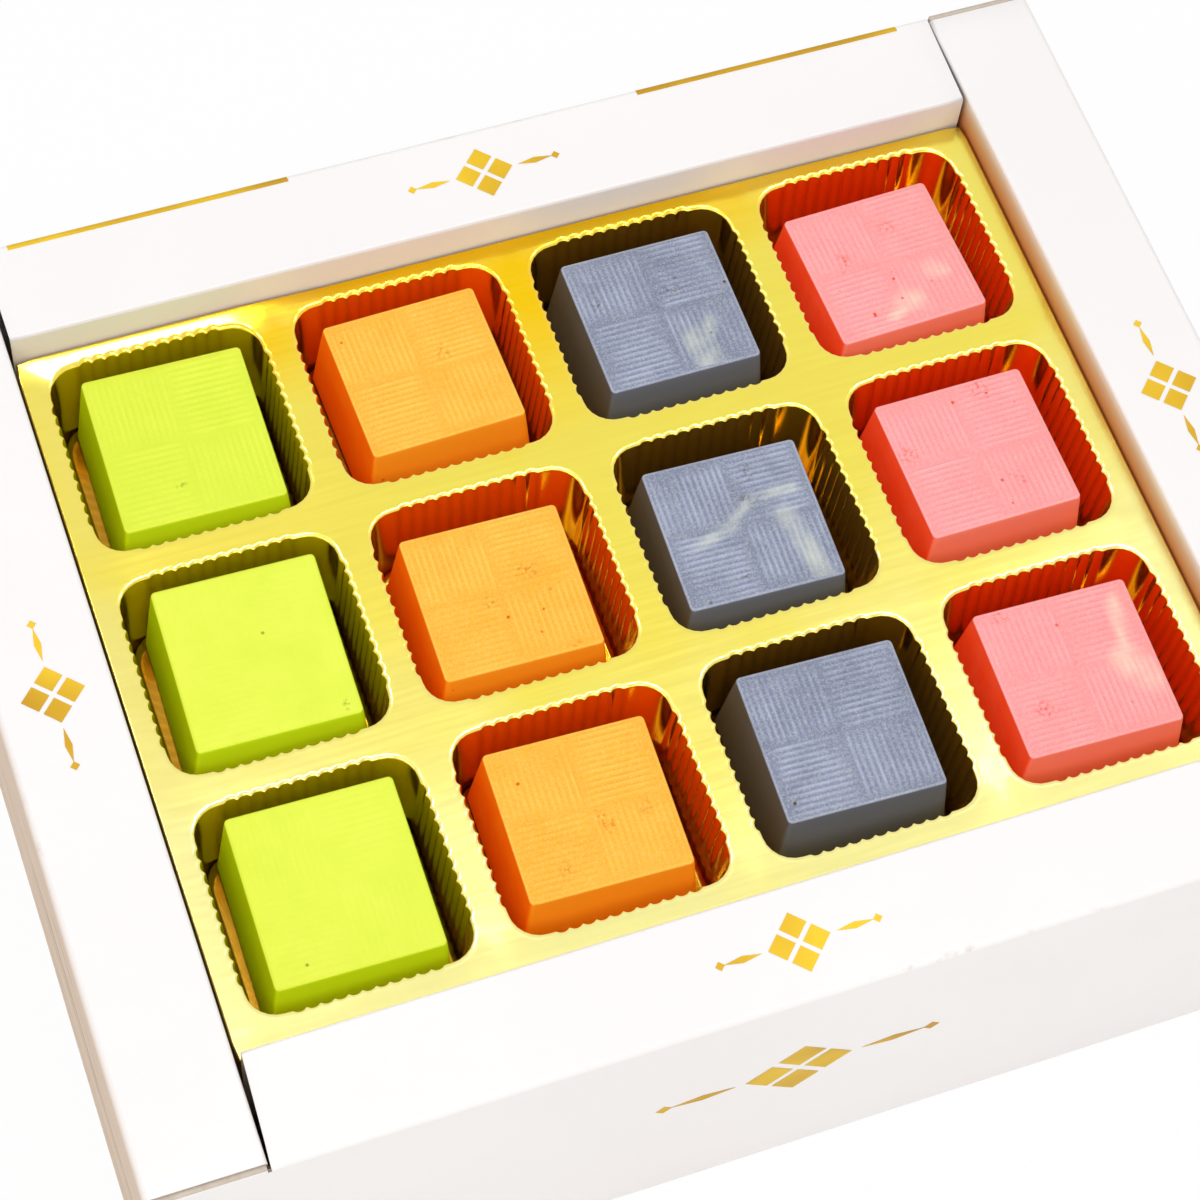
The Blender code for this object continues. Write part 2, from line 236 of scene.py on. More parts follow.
# Marks on single chocolates, in mm from the middle of the cup: where from, where to, how wide
MARBLING = {
    "blue_back": ((4.6, -6.0, 5.8, -15.5, 1.9), (8.0, -3.5, 5.2, -8.0, 1.0)),
    "blue_middle": (
        (-1.8, 0.2, 2.6, 3.4, 0.7), (2.6, 3.4, 9.0, 3.2, 0.9),
        (6.5, -1.0, 9.0, -15.6, 1.5), (-8.7, -2.5, -2.0, -0.5, 0.8),
    ),
    "pink_back": (
        (6.2, -4.6, 7.8, -5.2, 1.3), (-0.6, -9.0, 1.5, -9.4, 1.6), (-3.0, -11.5, 1.5, -9.4, 0.9),
    ),
    "pink_front": ((10.0, 9.5, 7.8, -1.4, 0.9), (7.8, -1.4, 10.6, -5.0, 2.4)),
}
FLECKING = {
    "green_back": ((-1.9, -7.8, -1.7, -7.9, 0.4),),
    "green_middle": ((10.7, -12.3, 10.9, -12.4, 0.4),),
    "orange_back": ((4.3, 3.6, 4.6, 3.2, 0.9),),
    "orange_middle": (
        (3.4, 1.9, 5.4, 1.4, 1.0), (-3.0, -1.9, -2.6, -2.2, 0.9), (7.1, -13.2, 7.6, -13.3, 0.9),
    ),
    "orange_front": (
        (1.3, -1.4, 1.9, -3.4, 0.9), (7.8, -1.7, 8.3, -2.0, 0.8), (-6.8, -7.8, -6.4, -8.2, 0.8),
    ),
    "blue_back": ((2.6, 4.2, 5.6, 4.0, 0.7), (-8.9, 5.2, -8.6, 4.4, 0.9)),
    "blue_middle": (
        (3.3, 8.3, 3.5, 7.6, 1.0), (1.0, 3.6, 2.6, 3.0, 0.7), (-3.5, -9.5, -3.0, -9.7, 0.8),
    ),
    "pink_back": ((-7.1, 1.4, -6.9, 0.6, 0.9), (2.0, 5.6, 2.8, 5.2, 0.9)),
    "pink_middle": (
        (4.2, 12.4, 4.6, 11.4, 1.3), (-11.5, 3.3, -10.5, 3.0, 1.2), (4.6, -6.1, 4.8, -6.6, 0.7),
    ),
    "pink_front": ((-8.7, 12.0, -8.3, 11.4, 1.0), (-8.0, -5.0, -7.4, -5.6, 1.2)),
}

# Prints
PRINT_GAP = 0.03 * MM
PRINT_THICKNESS = 0.03 * MM
LEDGE_PRINT_LENGTH = 26 * MM
FACE_PRINT_LENGTH = 46 * MM
FACE_PRINT_HEIGHT = 36 * MM
BAND_GAP = 0.02 * MM
BAND_THICKNESS = 0.04 * MM
BAND_OVERLAP = 0.35 * MM
BAND_STEPS = 12
BAND_FOLD_STEPS = 8
BAND_ENDS = {"back_left_band": (-77.1 * MM, -30.8 * MM), "back_right_band": (29.3 * MM, 75.9 * MM)}

# The camera, fitted to straight edges in the photograph
SENSOR_WIDTH = 36
LENS = 100.2447
VIEWPOINT = (-0.11772, -0.22928, 0.50648)
VIEW_RIGHT = (0.940050, -0.334687, 0.065497)
VIEW_DOWN = (-0.264216, -0.836172, -0.480631)
VIEW_FORWARD = (0.215627, 0.434512, -0.874474)

# Floor, world and lamps
FLOOR_HALF = 2.5
FLOOR_DROP = 0.05 * MM
FLOOR_GLOW = 0.95
WORLD_ON_MATT = 0.61
LAMP_TARGET = (0, 0, 0.05)

# Towards the small lamps whose light glints on the gold's rims
GLINTS = ((-0.17, 0.43, 0.88), (0.044, 0.196, 0.98), (0.216, 0.13, 0.967), (0.42, 0.20, 0.885))


# Finishes

class Finish:
    """A material that is built node by node round its Principled shader."""

    def __init__(self, name, **values):
        self.material = bpy.data.materials.new(name)
        self.material.use_nodes = True
        self.tree = self.material.node_tree
        self.shader = self.tree.nodes["Principled BSDF"]
        self.surface(**values)
        self.place = self.add("TexCoord").outputs["Object"]

    def fill(self, node, values):
        for key, value in values.items():
            if isinstance(value, bpy.types.NodeSocket):
                self.tree.links.new(value, node.inputs[key])
            else:
                node.inputs[key].default_value = value

    def surface(self, **values):
        """Sets or links the shader's inputs, named with an underscore for each space."""
        self.fill(self.shader, {key.replace("_", " "): value for key, value in values.items()})

    def add(self, kind, values=None, **settings):
        node = self.tree.nodes.new("ShaderNode" + kind)
        for key, value in settings.items():
            setattr(node, key, value)
        self.fill(node, values or {})
        return node

    def math(self, operation, first, second=0.0, clamp=False):
        return self.add("Math", {0: first, 1: second}, operation=operation, use_clamp=clamp).outputs[0]

    def times(self, first, second):
        return self.math("MULTIPLY", first, second)

    def mix(self, factor, first, second):
        return self.add("Mix", {0: factor, 6: first, 7: second}, data_type="RGBA").outputs[2]

    def stretched(self, scale):
        return self.add("Mapping", {"Vector": self.place, "Scale": scale}).outputs[0]

    def noise(self, scale, detail=2.0, roughness=0.5, vector=None):
        values = {
            "Vector": vector or self.place,
            "Scale": scale,
            "Detail": detail,
            "Roughness": roughness,
        }
        return self.add("TexNoise", values).outputs[0]

    def between(self, value, low, high, out_low=0.0, out_high=1.0, smooth=False):
        values = {0: value, 1: low, 2: high, 3: out_low, 4: out_high}
        interpolation = "SMOOTHSTEP" if smooth else "LINEAR"
        return self.add("MapRange", values, interpolation_type=interpolation).outputs[0]

    def specks(self, scale, size, share):
        """Round dots: how dark the dot is at each point, from 0 to 1."""
        cells = self.add("TexVoronoi", {"Vector": self.place, "Scale": scale})
        near = self.between(cells.outputs["Distance"], size, size * 0.55)
        picked = self.add("SeparateColor", {0: cells.outputs["Color"]}).outputs[0]
        return self.times(near, self.math("LESS_THAN", picked, share))

    def attribute(self, name):
        return self.add("Attribute", attribute_name=name).outputs["Fac"]

    def ways(self, vector):
        """A vector's x, y and z."""
        return self.add("SeparateXYZ", {0: vector}).outputs

    def bump(self, height, strength, distance, normal=None):
        values = {"Height": height, "Strength": strength, "Distance": distance}
        if normal:
            values["Normal"] = normal
        return self.add("Bump", values).outputs[0]


def colour(red, green, blue):
    """A linear colour."""
    return (red, green, blue, 1.0)


def board_finish():
    """White satin board: rubbed folds, faint fibre, specks, brown streaks low on the left outer face,
    painted reflected gold light and shade on the inner faces near the tray, and painted shade on the
    left outer face and the back inner face.
    """
    shaded, white = colour(0.935, 0.905, 0.895), colour(0.96, 0.935, 0.925)
    painted_bounce_and_shade_tan, painted_bounce_shade_brown = colour(0.70, 0.52, 0.37), colour(0.60, 0.19, 0.035)
    painted_shade_grey, fibrous = colour(0.58, 0.50, 0.52), colour(0.62, 0.50, 0.43)
    speck, brown = colour(0.36, 0.30, 0.26), colour(0.34, 0.22, 0.13)
    finish = Finish("white_board", Specular_IOR_Level=0.2)
    base = finish.mix(finish.between(finish.noise(14, 3), 0.35, 0.65), shaded, white)
    # tint carries painted reflected gold light and shade on the inner faces, and painted shade on the
    # left outer face
    tint = finish.attribute("tint")
    base = finish.mix(finish.between(tint, 0.0, 0.5), base, painted_bounce_and_shade_tan)
    base = finish.mix(finish.between(tint, 0.5, 1.0), base, painted_bounce_shade_brown)
    # Painted shade on the back wall's inner face
    base = finish.mix(finish.attribute("back_shade"), base, painted_shade_grey)
    rubbed = finish.between(finish.noise(420, 4, 0.7), 0.54, 0.66)
    patchy = finish.between(finish.noise(30, 2), 0.5, 0.62)
    worn = finish.times(finish.attribute("wear"), finish.times(rubbed, patchy))
    base = finish.mix(finish.times(worn, 0.4), base, fibrous)
    base = finish.mix(finish.times(finish.specks(90, 0.05, 0.1), 0.5), base, speck)
    # Brown streaks low on the left outer face
    streaks = finish.between(finish.noise(1, 5, 0.7, finish.stretched((40, 9, 300))), 0.53, 0.68)
    base = finish.mix(finish.times(streaks, finish.attribute("left_streaking")), base, brown)
    rough = finish.between(finish.noise(200, 3), 0.3, 0.7, 0.45, 0.6)
    fibre = finish.noise(1500, 3, 0.6)
    finish.surface(Base_Color=base, Roughness=rough, Normal=finish.bump(fibre, 0.05, 0.0003))
    return finish.material


def core_finish():
    """The bare cut edge of the board."""
    finish = Finish("board_core", Roughness=0.85)
    layers = finish.noise(1, 4, 0.6, finish.stretched((900, 900, 900)))
    base = finish.mix(layers, colour(0.50, 0.40, 0.31), colour(0.74, 0.66, 0.57))
    finish.surface(Base_Color=base, Normal=finish.bump(layers, 0.3, 0.0002))
    return finish.material


def gold_finish():
    """Gold metallised sheet, finely brushed: paler towards the front, with a redder, brighter gold
    painted on the cups' walls as reflected light from the chocolates, painted shade darkening their feet
    and floors, and painted shade along the flutes' creases.
    """
    middle, front, back = colour(0.85, 0.715, 0.10), colour(0.86, 0.79, 0.29), colour(0.92, 0.58, 0.004)
    # wall is a redder, brighter gold painted as the chocolates' reflection; floor is darker, painted
    # shade on the cups' feet and floors
    bright, wall, floor = colour(0.96, 0.86, 0.30), colour(1.0, 0.70, 0.08), colour(0.36, 0.18, 0.012)
    finish = Finish("gold_sheet", Metallic=1.0, Coat_Roughness=0.1)
    brushed = finish.noise(1, 4, 0.65, finish.stretched((55, 1500, 900)))
    crossed = finish.noise(1, 4, 0.65, finish.stretched((1300, 60, 900)))
    cloudy = finish.between(finish.noise(34, 3), 0.3, 0.7, -0.012, 0.012)
    place = finish.ways(finish.place)
    sideways = finish.times(finish.math("ABSOLUTE", place[0]), -0.4)
    backwards = finish.math("ADD", finish.math("ADD", place[1], sideways), cloudy)
    base = finish.mix(finish.between(backwards, -0.015, -0.062), middle, front)
    base = finish.mix(finish.between(backwards, 0.020, 0.048), base, back)
    streak = finish.between(brushed, 0.35, 0.65)
    base = finish.mix(finish.times(streak, 0.04), base, bright)
    depth = finish.attribute("depth")
    # Painted reflection on the cups' walls, then painted shade on their feet and floors
    base = finish.mix(depth, base, wall)
    base = finish.mix(finish.between(depth, 1.0, 2.0), base, floor)
    in_cup = finish.between(depth, 0.5, 1.0)
    # Painted shade in the creases between the flutes, down in the cups
    crease_darkening = finish.times(finish.attribute("crease_shade"), finish.times(in_cup, 0.4))
    base = finish.mix(crease_darkening, base, colour(0.58, 0.28, 0.03))
    rough = finish.math("ADD", finish.between(brushed, 0.3, 0.7, 0.13, 0.18), finish.times(in_cup, 0.02))
    upward = finish.ways(finish.add("NewGeometry").outputs["Normal"])[2]
    coated = finish.times(finish.between(upward, 0.9995, 0.995), finish.between(depth, 1.0, 0.2))
    fine = finish.bump(brushed, 0.012, 0.0002)
    fine = finish.bump(crossed, 0.015, 0.0002, fine)
    waves = finish.bump(finish.noise(90, 2), 0.08, 0.001, fine)
    finish.surface(Base_Color=base, Roughness=rough, Coat_Weight=coated, Normal=waves)
    return finish.material


def print_finish():
    """Gold foil print, darker and brighter along its length."""
    finish = Finish("gold_print", Metallic=0.15, Roughness=0.5, Specular_IOR_Level=0.2)
    along = finish.between(finish.noise(45, 2), 0.35, 0.65)
    base = finish.mix(along, colour(0.56, 0.30, 0.01), colour(0.84, 0.55, 0.02))
    finish.surface(Base_Color=base, Normal=finish.bump(finish.noise(1200, 2), 0.1, 0.0001))
    return finish.material


def chocolate_finish(tint, top, front, side, mottle_and_groove_shade, pale, speck, grain, groove_shade, speck_share):
    """Tinted chocolate, finely grained, with marbling and flecks. Its paler ridged top and front and its
    darker sides are painted light and shade, and so are its darker grooves and the pale specks on its
    top.
    grain says how strongly its grain shows, and the groove argument how strongly painted shade darkens
    its grooves."""
    finish = Finish(tint + "_chocolate_look", Specular_IOR_Level=0.03)
    facing = finish.add("NewGeometry").outputs["Normal"]
    ways = finish.ways(facing)
    upward = finish.between(ways[2], 0.25, 0.92, smooth=True)
    mottle = finish.between(finish.noise(170, 4, 0.6), 0.42, 0.7)
    patches = finish.between(finish.noise(75, 3, 0.6), 0.42, 0.62, 0.0, 0.6)
    groove = finish.math("SUBTRACT", 1.0, finish.attribute("crest"))
    ridged = finish.mix(finish.times(mottle, grain), colour(*top), colour(*mottle_and_groove_shade))
    ridged = finish.mix(finish.times(patches, grain), ridged, colour(*mottle_and_groove_shade))
    # Painted shade in the grooves between the ridges
    ridged = finish.mix(finish.times(groove, groove_shade), ridged, colour(*mottle_and_groove_shade))
    # The top and the front are painted lighter and the other sides darker, as lit and shaded copies of
    # one colour
    front_lit_share = finish.between(ways[1], -0.4, -0.8)
    front_lit_share = finish.math("ADD", front_lit_share, finish.times(mottle, 0.15), clamp=True)
    base = finish.mix(upward, finish.mix(front_lit_share, colour(*side), colour(*front)), ridged)
    # Fine pale specks on upward faces only: painted sheen on the top
    top_sheen_specks = finish.between(finish.noise(3200, 2, 0.6), 0.45, 0.75)
    top_sheen_specks = finish.times(finish.times(top_sheen_specks, upward), grain)
    base = finish.mix(top_sheen_specks, base, colour(*pale))
    cloud = finish.between(finish.noise(200, 3, 0.55), 0.30, 0.62, 0.08, 0.6)
    base = finish.mix(finish.times(finish.attribute("marbling"), cloud), base, colour(*pale))
    clustered = finish.between(finish.noise(60, 2), 0.52, 0.64)
    flecks = finish.times(finish.specks(520, 0.20, speck_share), clustered)
    dense = finish.between(finish.noise(1400, 2, 0.6), 0.50, 0.60)
    dense = finish.times(finish.times(dense, 0.6), finish.attribute("flecking"))
    base = finish.mix(finish.math("MAXIMUM", flecks, dense), base, colour(*speck))
    lift = finish.times(finish.math("SUBTRACT", 1.0, upward), SIDE_LIGHT)
    lift = finish.add("CombineXYZ", {2: lift}).outputs[0]
    raised = finish.add("VectorMath", {0: facing, 1: lift}, operation="ADD").outputs[0]
    raised = finish.add("VectorMath", {0: raised}, operation="NORMALIZE").outputs[0]
    pores = finish.bump(finish.noise(1100, 3, 0.65), 0.12, 0.0002, raised)
    finish.surface(Base_Color=base, Roughness=finish.between(mottle, 0.0, 1.0, 0.45, 0.6), Normal=pores)
    return finish.material


def fillings():
    """One material for each tint of chocolate."""
    # Each tint's top, front and side colours are one colour painted lit on the top and front and shaded
    # on the sides
    return {
        "green": chocolate_finish(
            "green", top=(0.86, 0.96, 0.095), front=(0.57, 0.80, 0.007), side=(0.42, 0.57, 0.002),
            mottle_and_groove_shade=(0.60, 0.80, 0.02), pale=(0.96, 1.0, 0.30), speck=(0.08, 0.18, 0.01),
            grain=0.15, groove_shade=0.5, speck_share=0.02),
        "orange": chocolate_finish(
            "orange", top=(1.0, 0.66, 0.11), front=(1.0, 0.305, 0.012), side=(1.0, 0.15, 0.001),
            mottle_and_groove_shade=(1.0, 0.40, 0.02), pale=(1.0, 0.80, 0.28), speck=(0.80, 0.14, 0.005),
            grain=0.35, groove_shade=0.6, speck_share=0.18),
        "blue": chocolate_finish(
            "blue", top=(0.52, 0.57, 0.76), front=(0.135, 0.143, 0.17), side=(0.12, 0.088, 0.06),
            mottle_and_groove_shade=(0.14, 0.16, 0.24), pale=(0.76, 0.79, 0.70), speck=(0.12, 0.09, 0.06),
            grain=0.4, groove_shade=0.7, speck_share=0.12),
        "pink": chocolate_finish(
            "pink", top=(1.0, 0.49, 0.52), front=(1.0, 0.215, 0.145), side=(1.0, 0.07, 0.016),
            mottle_and_groove_shade=(1.0, 0.28, 0.28), pale=(1.0, 0.82, 0.62), speck=(0.90, 0.10, 0.04),
            grain=0.25, groove_shade=0.6, speck_share=0.15),
    }


# Pieces and their meshes

def new_piece(name, bm, materials, body, nodes=()):
    """An object from a bmesh, in place, that rides on a body and stands for the CAD nodes."""
    mesh = bpy.data.meshes.new(name)
    bm.to_mesh(mesh)
    bm.free()
    piece = bpy.data.objects.new(name, mesh)
    bpy.context.scene.collection.objects.link(piece)
    for material in materials:
        mesh.materials.append(material)
    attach(piece, body)
    if nodes:
        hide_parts(*nodes)
    return piece


def shade(piece, angle=35):
    """Smooth shading that leaves the wide flat faces flat."""
    piece.data.shade_smooth()
    piece.data.set_sharp_from_angle(angle=math.radians(angle))
    flat = piece.modifiers.new("flat faces", "WEIGHTED_NORMAL")
    flat.keep_sharp = True
    flat.weight = 90


def thicken(piece, thickness, rim_material=0, even=True):
    solidify = piece.modifiers.new("thickness", "SOLIDIFY")
    solidify.thickness = thickness
    solidify.offset = -1
    solidify.use_even_offset = even
    solidify.material_offset_rim = rim_material


def cup_node(row, column):
    return "tray_cup_%s_%d" % (ROW_NAMES[row], column + 1)


def spread(low, high, steps):
    """Evenly spaced values, both ends included."""
    return [low + (high - low) * step / steps for step in range(steps + 1)]


def within(value, low=0.0, high=1.0):
    return max(low, min(high, value))


def join_rings(bm, lower, upper):
    """Quads between two closed rings of points."""
    for index in range(len(lower)):
        after = (index + 1) % len(lower)
        bm.faces.new((lower[index], lower[after], upper[after], upper[index]))


def join_lines(bm, lower, upper):
    """Quads between two open lines of points."""
    for index in range(len(lower) - 1):
        bm.faces.new((lower[index], lower[index + 1], upper[index + 1], upper[index]))


# The walls

def wall_profile(inner_foot):
    """(outwards, height, wear) up the outside of a folded wall and down its inner panel."""
    ledge = LEDGE_WIDTH - WALL_INSET
    top = BOX_HEIGHT - WALL_INSET
    points = [(ledge, share * (top - FOLD_RADIUS), 0.0) for share in PANEL_SHARES]
    for angle in spread(0, math.pi / 2, FOLD_STEPS):
        outwards = ledge - FOLD_RADIUS * (1 - math.cos(angle))
        points.append((outwards, top - FOLD_RADIUS * (1 - math.sin(angle)), math.sin(2 * angle)))
    for outwards in spread(ledge - FOLD_RADIUS, INNER_FOLD_RADIUS, LEDGE_STEPS)[1:-1]:
        points.append((outwards, top, 0.0))
    for angle in spread(math.pi / 2, math.pi, FOLD_STEPS):
        outwards = INNER_FOLD_RADIUS * (1 + math.cos(angle))
        points.append((outwards, top - INNER_FOLD_RADIUS * (1 - math.sin(angle)), 0.0))
    for height in INNER_HEIGHTS_MM:
        points.append((0.0, height * MM, 0.0))
    points.append((0.0, inner_foot, 0.0))
    return points


def wall_columns(is_end):
    """Places along a wall, the slice of them that is folded over, and the slices of its end flaps."""
    if not is_end:
        reach = BOX_HIGH.y - PANEL_SETBACK
        columns = spread(-reach, reach, WALL_STEPS)
        return columns, slice(0, len(columns)), ()
    between = WELL_HALF_LENGTH - REST_GAP
    full = BOX_HIGH.x - WALL_INSET
    left = spread(-full, -between - SLIT, FLAP_STEPS)
    middle = spread(-between, between, WALL_STEPS)
    right = spread(between + SLIT, full, FLAP_STEPS)
    first, last = len(left), len(left) + len(middle)
    columns = left + middle + right
    return columns, slice(first, last), (slice(0, first), slice(last, len(columns)))


def painted_wall_light(name, outwards, height):
    """Painted light and shade on a wall's board: reflected gold light and shade on the inner face near
    the gold tray, and on the outer faces a warm tone that is painted shade on the left one.
    """
    if outwards > LEDGE_WIDTH - FOLD_RADIUS:
        return OUTER_TONE_AND_SHADE[name] * min(1.0, (BOX_HEIGHT - height) / FOLD_RADIUS)
    if outwards > INNER_FOLD_RADIUS / 2:
        return 0.0
    top = BOX_HEIGHT - INNER_FOLD_RADIUS
    return INNER_PAINTED_BOUNCE[name] * (1 - (1 - within((top - height) / (top - TRAY_TOP))) ** 2)


def set_back(name, side, place, outwards):
    """Draws a place along a front or back ledge in from the side ledge at its end."""
    if abs(place) >= WELL_HALF_LENGTH or outwards >= LEDGE_WIDTH - 2 * FOLD_RADIUS:
        return place
    inner_gap, outer_gap = END_GAPS[name, side]
    gap = inner_gap + (outer_gap - inner_gap) * max(0.0, outwards) / LEDGE_WIDTH
    return place * (1 - gap / WELL_HALF_LENGTH)


def wavy(point, outward):
    """A little unevenness along a wall's faces."""
    amount = noise.noise(point * 22) + 0.5 * noise.noise(point * 60 + Vector((3, 1, 4)))
    return point + outward * amount * WALL_WAVE * 0.6


def folded_wall(name, direction, board, core):
    """One wall, made along its own length and turned to face a direction: outer panel, fold,
    ledge, fold and inner panel. The front and back ones also have flaps that cover the ends."""
    outward = Vector(direction)
    along = Vector((-outward.y, outward.x, 0))
    is_end = abs(outward.y) > 0.5
    well = WELL_HALF_WIDTH if is_end else WELL_HALF_LENGTH
    columns, folded, flaps = wall_columns(is_end)
    bm = bmesh.new()
    wear = bm.verts.layers.float.new("wear")
    left_streaking = bm.verts.layers.float.new("left_streaking")
    tint = bm.verts.layers.float.new("tint")
    back_shade = bm.verts.layers.float.new("back_shade")

    def row(places, outwards, height, worn):
        low_outside = outwards > LEDGE_WIDTH - 2 * WALL_INSET and height < BOX_HEIGHT - 2 * FOLD_RADIUS
        made = []
        for place in places:
            if is_end:
                place = set_back(name, "right" if along.x * place > 0 else "left", place, outwards)
            point = outward * (well + outwards) + along * place + Vector((0, 0, height))
            uneven = min(1.0, abs(outwards) / WAVE_START) if height > BOX_HEIGHT / 2 else 1.0
            vert = bm.verts.new(wavy(point, (outward + Vector((0, 0, 0.6))) * uneven))
            vert.co.z = within(vert.co.z, WALL_FOOT_GAP, BOX_HEIGHT)
            vert[wear] = worn
            # Brown streaks low on the left outer face
            vert[left_streaking] = 1.0 if name == "left" and low_outside else 0.0
            # Painted reflected gold light and shade on the inner face, painted shade on the left outer
            # face
            vert[tint] = painted_wall_light(name, outwards, height)
            # Painted shade on the back wall's inner face
            vert[back_shade] = BACK_PAINTED_SHADE if name == "back" and outwards < INNER_FOLD_RADIUS / 2 else 0.0
            made.append(vert)
        return made

    profile = wall_profile(BASE_BOARD + REST_GAP)
    shoulder_at = len(PANEL_SHARES)
    rows = [row(columns, *values) for values in profile[:shoulder_at + 1]]
    for lower, upper in zip(rows, rows[1:]):
        join_lines(bm, lower, upper)
    shoulder = rows[-1]
    previous = shoulder[folded]
    for values in profile[shoulder_at + 1:]:
        current = row(columns[folded], *values)
        join_lines(bm, previous, current)
        previous = current
    for flap in flaps:
        last = row(columns[flap], LEDGE_WIDTH - WALL_INSET, BOX_HEIGHT - END_PANEL_DROP, FLAP_WEAR)
        join_lines(bm, shoulder[flap], last)
    wall = new_piece(name + "_panel", bm, (board, core), "box", (name + "_wall",))
    thicken(wall, BOARD - WALL_INSET, 1)
    shade(wall)
    return wall


# The tray

def flute(share):
    """The bulge of one flute across its width, share from -1 to 1: a round arc, 1 at its middle."""
    half = FLUTE_PITCH / 2
    arc = (half * half + FLUTE_DEPTH * FLUTE_DEPTH) / (2 * FLUTE_DEPTH)
    return (math.sqrt(arc * arc - (share * half) ** 2) - (arc - FLUTE_DEPTH)) / FLUTE_DEPTH


def side_places():
    """Where the points of a cup's side lie along it, and each one's share of the flute's bulge."""
    places = []
    for index in range(FLUTES):
        middle = (index - (FLUTES - 1) / 2) * FLUTE_PITCH
        for step in range(FLUTE_STEPS):
            share = 2 * step / FLUTE_STEPS - 1
            places.append((middle + share * FLUTE_PITCH / 2, flute(share)))
    places.append((FLUTES * FLUTE_PITCH / 2, 0.0))
    return places


SIDE_PLACES = side_places()
RING_SHARES = ([1.0] + [share for place, share in SIDE_PLACES] + [1.0] * CUP_CORNER_STEPS) * 4


def cup_ring(half, radius, bulge):
    """Points round a cup as seen from above, anticlockwise from the start of its right side."""
    straight = half - radius
    points = []
    for side in range(4):
        turn = Matrix.Rotation(side * math.pi / 2, 2)
        line = [(half, -straight)]
        line += [(half + bulge * share, place) for place, share in SIDE_PLACES]
        line.append((half, straight))
        for step in range(1, CUP_CORNER_STEPS):
            angle = step / CUP_CORNER_STEPS * math.pi / 2
            line.append((straight + radius * math.cos(angle), straight + radius * math.sin(angle)))
        points += [turn @ Vector(point) for point in line]
    return points


def cell_ring(extents):
    """The points of the same number round a cup's share of the land: extents to the right, back,
    left and front. Neighbouring cells meet point to point."""
    straight = CUP_HALF - CUP_CORNER_RADIUS
    half_steps = CUP_CORNER_STEPS // 2
    points = []
    for side in range(4):
        turn = Matrix.Rotation(side * math.pi / 2, 2)
        reach, after = extents[side], extents[(side + 1) % 4]
        line = [(reach, -straight)]
        line += [(reach, place) for place, share in SIDE_PLACES]
        line.append((reach, straight))
        for step in range(1, CUP_CORNER_STEPS):
            if step <= half_steps:
                line.append((reach, straight + (after - straight) * step / half_steps))
            else:
                line.append((reach + (straight - reach) * (step - half_steps) / half_steps, after))
        points += [turn @ Vector(point) for point in line]
    return points


def cup_levels():
    """(offset outwards, height, flute bulge, depth) of each ring, from the land to the floor."""
    levels = [(offset * MM, height * MM, bulge, depth) for offset, height, bulge, depth in RIM_LEVELS]
    for share, bulge in CUP_WALL_SHARES:
        levels.append((-CUP_DRAFT * share, -CUP_DEPTH * share, bulge, 1.0))
    for angle, bulge in CUP_FOOT_LEVELS:
        turn = math.radians(angle)
        inwards = CUP_DRAFT * CUP_FOOT_DRAFT_SHARE + CUP_FOOT_RADIUS * (1 - math.cos(turn))
        height = -CUP_DEPTH + CUP_FOOT_RADIUS * (1 - math.sin(turn))
        levels.append((-inwards, height, bulge, 1.0 + angle / 90))
    return levels


def land_warp(x, y):
    """How far the tray's thin land stands out of level; its margins turn up a little."""
    point = Vector((x, y, 0))
    broad = noise.noise(point * 26 + Vector((0, 0, 5)))
    fine = noise.noise(point * 75 + Vector((0, 0, 9)))
    towards_left = within((LEFT_UPTURN_START - x) / LEFT_UPTURN_RUN)
    back_left = 1.6 * towards_left if y > 0 else 0.0
    rise = 0.0
    for inside, turned_up in (
        (TRAY_HALF_LENGTH - abs(x), UPTURN),
        (TRAY_HALF_WIDTH - abs(y), UPTURN * (0.8 + back_left)),
    ):
        rise = max(rise, turned_up * max(0.0, 1 - inside / UPTURN_MARGIN))
    return LAND_WAVE * broad + LAND_RIPPLE * fine + rise


def eased(value, half, low_shift, high_shift):
    """Shifts the sheet's two margins along one axis: the left one stands a little off its wall,
    the right and back ones reach closer to theirs."""
    low = within(1 - (value + half) / SHIFTED_MARGIN)
    high = within(1 - (half - value) / SHIFTED_MARGIN)
    return value + low_shift * low + high_shift * high


def rounded(point):
    """Draws a point on the land's edge in to its round corner, with its way outwards."""
    inner = Vector((EDGE_HALF.x - EDGE_CORNER, EDGE_HALF.y - EDGE_CORNER))
    core = Vector((within(point.x, -inner.x, inner.x), within(point.y, -inner.y, inner.y)))
    outward = (point - core).normalized()
    return core + outward * EDGE_CORNER, outward


def cell_extents(row, column, middle):
    """How far a cup's share of the land reaches: to the right, back, left and front."""
    extents = [CUP_PITCH / 2] * 4
    if column == len(COLOURS) - 1:
        extents[0] = EDGE_HALF.x - middle.x
    if row == 0:
        extents[1] = EDGE_HALF.y - middle.y
    if column == 0:
        extents[2] = EDGE_HALF.x + middle.x
    if row == len(ROW_NAMES) - 1:
        extents[3] = EDGE_HALF.y + middle.y
    return extents


